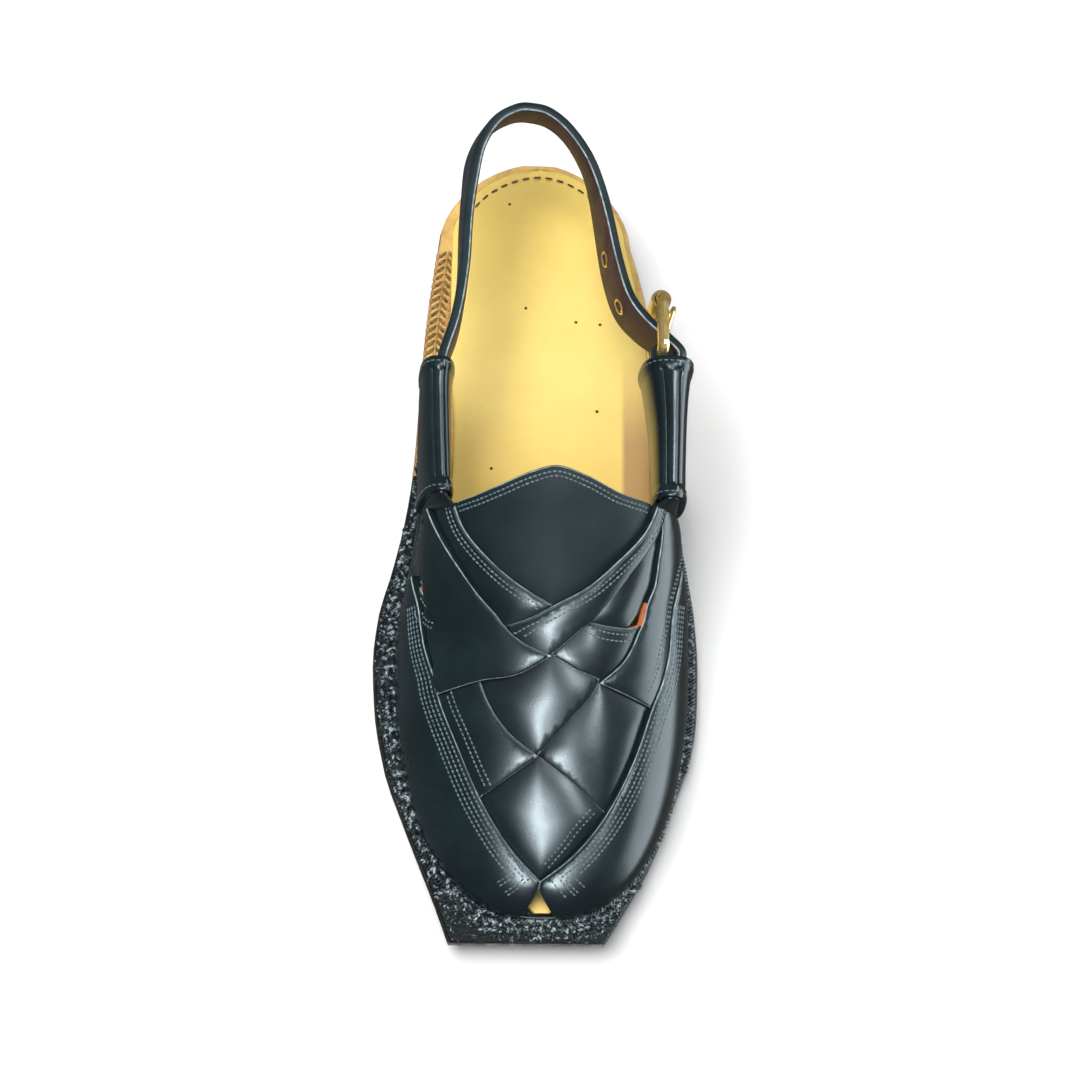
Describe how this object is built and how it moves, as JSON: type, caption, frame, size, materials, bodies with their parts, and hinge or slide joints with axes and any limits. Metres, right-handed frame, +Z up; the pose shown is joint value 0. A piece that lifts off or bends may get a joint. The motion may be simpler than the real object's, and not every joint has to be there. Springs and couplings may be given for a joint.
{
  "type": "chappal",
  "caption": "Open-backed leather chappal for the left foot: vamp of crossing flat straps, peep toe, squared sole with low heel, heel strap through two sleeves with a buckle",
  "frame": {"origin": "on the floor under the middle of the heel, 30 mm forward of the heel end of the sole", "axes": "+Z up; the toe points to -Y and the heel to +Y; +X to the outer side of the left foot"},
  "size_m": [0.1183, 0.2929, 0.0844],
  "materials": {
    "heel_rubber": "matt",
    "heel_leather": "waxed edge",
    "sole_leather": "waxed edge",
    "welt_leather": "stitched, waxed",
    "insole_leather": "smooth, undyed",
    "upper_leather": "polished",
    "strap_leather": "polished",
    "brass": "polished"
  },
  "bodies": {
    "root": {"heel_top_piece": "heel_rubber", "heel_block": "heel_leather", "outsole": "sole_leather", "welt": "welt_leather", "insole": "insole_leather", "upper": "upper_leather", "sleeve_inner": "upper_leather", "sleeve_outer": "upper_leather", "heel_strap": "strap_leather", "chape": "strap_leather", "eyelet_1": "brass", "eyelet_2": "brass", "buckle_frame": "brass", "buckle_roller": "brass", "buckle_prong": "brass"}
  },
  "joints": []
}
